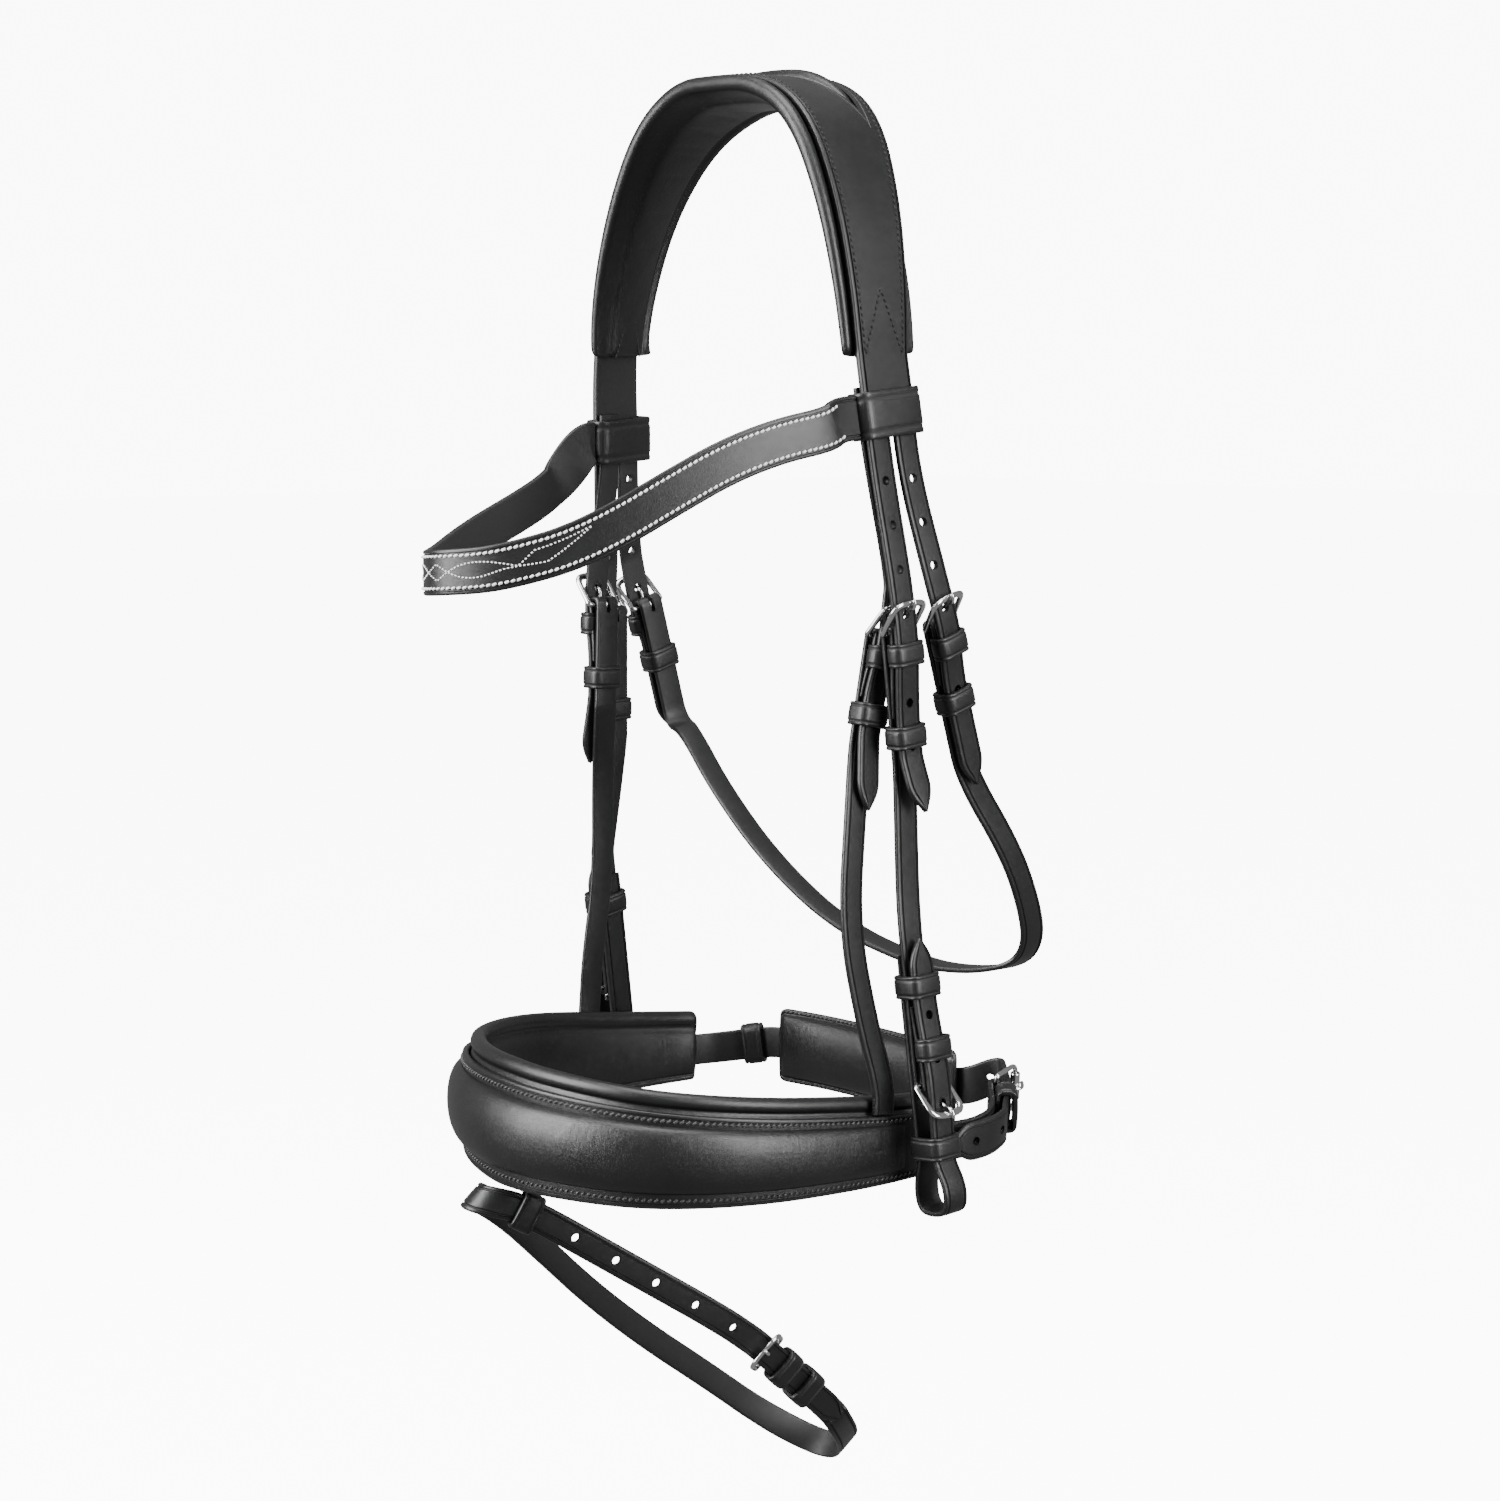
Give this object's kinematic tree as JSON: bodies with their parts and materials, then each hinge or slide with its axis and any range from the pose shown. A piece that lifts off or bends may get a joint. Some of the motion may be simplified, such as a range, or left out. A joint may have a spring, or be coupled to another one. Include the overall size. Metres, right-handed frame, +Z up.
{
  "type": "horse bridle",
  "caption": "Black leather snaffle bridle with a padded crown and browband, a padded crank noseband, buckled straps with loose keepers and a flash strap.",
  "frame": {"origin": "middle of the crown pad's underside, where the bridle hangs on the poll", "axes": "+X is the horse's left (near) side, -Y is towards its nose, +Z is up along the hanging cheek straps"},
  "size_m": [0.2512, 0.269, 0.6431],
  "materials": {
    "leather": "satin bridle leather",
    "soft_leather": "soft matt padded leather",
    "steel": "polished stainless steel"
  },
  "bodies": {
    "headstall": {"browband": "leather", "chin_keeper": "leather", "chin_pad": "soft_leather", "crank_buckle": "steel", "crank_buckle_strap": "leather", "crank_strap": "leather", "crown_leather": "leather", "crown_pad": "soft_leather", "far_bit_billet": "leather", "far_bit_buckle": "steel", "far_browband_loop": "leather", "far_cheek_buckle": "steel", "far_cheek_tail": "leather", "far_cheekpiece": "leather", "far_hanger": "leather", "far_noseband_buckle": "steel", "far_noseband_tail": "leather", "far_throat_buckle": "steel", "far_throat_tail": "leather", "near_bit_billet": "leather", "near_bit_buckle": "steel", "near_browband_loop": "leather", "near_cheek_buckle": "steel", "near_cheek_tail": "leather", "near_cheekpiece": "leather", "near_hanger": "leather", "near_noseband_buckle": "steel", "near_noseband_tail": "leather", "near_throat_buckle": "steel", "near_throat_tail": "leather", "noseband_front": "leather", "noseband_lining": "soft_leather", "throatlatch": "leather"},
    "near_cheek_tongue": {"near_cheek_tongue": "steel"},
    "near_cheek_keeper": {"near_cheek_keeper": "leather"},
    "near_throat_tongue": {"near_throat_tongue": "steel"},
    "near_throat_keeper": {"near_throat_keeper": "leather"},
    "near_noseband_tongue": {"near_noseband_tongue": "steel"},
    "near_noseband_keeper": {"near_noseband_keeper": "leather"},
    "near_bit_tongue": {"near_bit_tongue": "steel"},
    "near_bit_keeper": {"near_bit_keeper": "leather"},
    "near_bit_loop_keeper": {"near_bit_loop_keeper": "leather"},
    "far_cheek_tongue": {"far_cheek_tongue": "steel"},
    "far_cheek_keeper": {"far_cheek_keeper": "leather"},
    "far_throat_tongue": {"far_throat_tongue": "steel"},
    "far_throat_keeper": {"far_throat_keeper": "leather"},
    "far_noseband_tongue": {"far_noseband_tongue": "steel"},
    "far_noseband_keeper": {"far_noseband_keeper": "leather"},
    "far_bit_tongue": {"far_bit_tongue": "steel"},
    "far_bit_keeper": {"far_bit_keeper": "leather"},
    "far_bit_loop_keeper": {"far_bit_loop_keeper": "leather"},
    "crank_tongue": {"crank_tongue": "steel"},
    "crank_roller": {"crank_roller": "steel"},
    "flash": {"flash_loop": "leather", "flash_strap": "leather", "flash_buckle": "steel"},
    "flash_tongue": {"flash_tongue": "steel"},
    "flash_keeper": {"flash_keeper": "leather"}
  },
  "joints": [
    {"name": "near_cheek_tongue_turn", "type": "hinge", "parent": "headstall", "child": "near_cheek_tongue", "pos_m": [0.096, -0.00957, -0.22553], "axis": [0, 0.995, 0.0995], "range_deg": [0, 3]},
    {"name": "near_cheek_keeper_slide", "type": "slide", "parent": "headstall", "child": "near_cheek_keeper", "axis": [-0.0298, -0.0995, 0.9946], "range_m": [-0.005, 0.005]},
    {"name": "near_throat_tongue_turn", "type": "hinge", "parent": "headstall", "child": "near_throat_tongue", "pos_m": [0.096, 0.01527, -0.2231], "axis": [0, 0.9552, 0.2961], "range_deg": [0, 3]},
    {"name": "near_throat_keeper_slide", "type": "slide", "parent": "headstall", "child": "near_throat_keeper", "axis": [0, -0.2961, 0.9552], "range_m": [-0.02, 0.004]},
    {"name": "near_noseband_tongue_turn", "type": "hinge", "parent": "headstall", "child": "near_noseband_tongue", "pos_m": [0.0833, -0.00736, -0.22843], "axis": [0, 0.9806, -0.1961], "range_deg": [0, 3]},
    {"name": "near_noseband_keeper_slide", "type": "slide", "parent": "headstall", "child": "near_noseband_keeper", "axis": [0, 0.1961, 0.9806], "range_m": [-0.006, 0.004]},
    {"name": "near_bit_tongue_turn", "type": "hinge", "parent": "headstall", "child": "near_bit_tongue", "pos_m": [0.11203, -0.00423, -0.41831], "axis": [0, -0.9988, -0.0499], "range_deg": [0, 3]},
    {"name": "near_bit_keeper_slide", "type": "slide", "parent": "headstall", "child": "near_bit_keeper", "axis": [0.0994, 0.0497, -0.9938], "range_m": [-0.012, 0.004]},
    {"name": "near_bit_loop_keeper_slide", "type": "slide", "parent": "headstall", "child": "near_bit_loop_keeper", "axis": [0.0994, 0.0497, -0.9938], "range_m": [-0.009, 0.001]},
    {"name": "far_cheek_tongue_turn", "type": "hinge", "parent": "headstall", "child": "far_cheek_tongue", "pos_m": [-0.096, -0.00736, -0.22795], "axis": [0, -0.9998, -0.02], "range_deg": [0, 3]},
    {"name": "far_cheek_keeper_slide", "type": "slide", "parent": "headstall", "child": "far_cheek_keeper", "axis": [0.03, -0.02, 0.9994], "range_m": [-0.005, 0.005]},
    {"name": "far_throat_tongue_turn", "type": "hinge", "parent": "headstall", "child": "far_throat_tongue", "pos_m": [-0.09888, 0.01656, -0.22456], "axis": [0, -0.963, -0.2696], "range_deg": [0, 3]},
    {"name": "far_throat_keeper_slide", "type": "slide", "parent": "headstall", "child": "far_throat_keeper", "axis": [0, -0.2696, 0.963], "range_m": [-0.016, 0.003]},
    {"name": "far_noseband_tongue_turn", "type": "hinge", "parent": "headstall", "child": "far_noseband_tongue", "pos_m": [-0.0833, -0.02318, -0.22213], "axis": [0, -0.9996, 0.03], "range_deg": [0, 3]},
    {"name": "far_noseband_keeper_slide", "type": "slide", "parent": "headstall", "child": "far_noseband_keeper", "axis": [0, 0.03, 0.9996], "range_m": [-0.006, 0.004]},
    {"name": "far_bit_tongue_turn", "type": "hinge", "parent": "headstall", "child": "far_bit_tongue", "pos_m": [-0.1104, 0.00331, -0.40643], "axis": [0, 0.9806, 0.1961], "range_deg": [0, 3]},
    {"name": "far_bit_keeper_slide", "type": "slide", "parent": "headstall", "child": "far_bit_keeper", "axis": [-0.0976, 0.1952, -0.9759], "range_m": [-0.012, 0.004]},
    {"name": "far_bit_loop_keeper_slide", "type": "slide", "parent": "headstall", "child": "far_bit_loop_keeper", "axis": [-0.0976, 0.1952, -0.9759], "range_m": [-0.009, 0.001]},
    {"name": "crank_tongue_turn", "type": "hinge", "parent": "headstall", "child": "crank_tongue", "pos_m": [0.08496, 0.06495, -0.43951], "axis": [-0.2083, 0.1858, -0.9603], "range_deg": [0, 3]},
    {"name": "crank_roller_turn", "type": "hinge", "parent": "headstall", "child": "crank_roller", "pos_m": [0.08266, 0.07971, -0.43615], "axis": [-0.2083, 0.1858, -0.9603], "continuous": true},
    {"name": "flash_swing", "type": "hinge", "parent": "headstall", "child": "flash", "pos_m": [-0.00401, -0.13947, -0.46195], "axis": [1, 0, 0], "range_deg": [-30, 28]},
    {"name": "flash_tongue_turn", "type": "hinge", "parent": "flash", "child": "flash_tongue", "pos_m": [0.02051, -0.01448, -0.55606], "axis": [0.2817, 0.6331, 0.721], "range_deg": [0, 3]},
    {"name": "flash_keeper_slide", "type": "slide", "parent": "flash", "child": "flash_keeper", "axis": [0.03, -0.7569, 0.6529], "range_m": [-0.018, 0.004]}
  ]
}
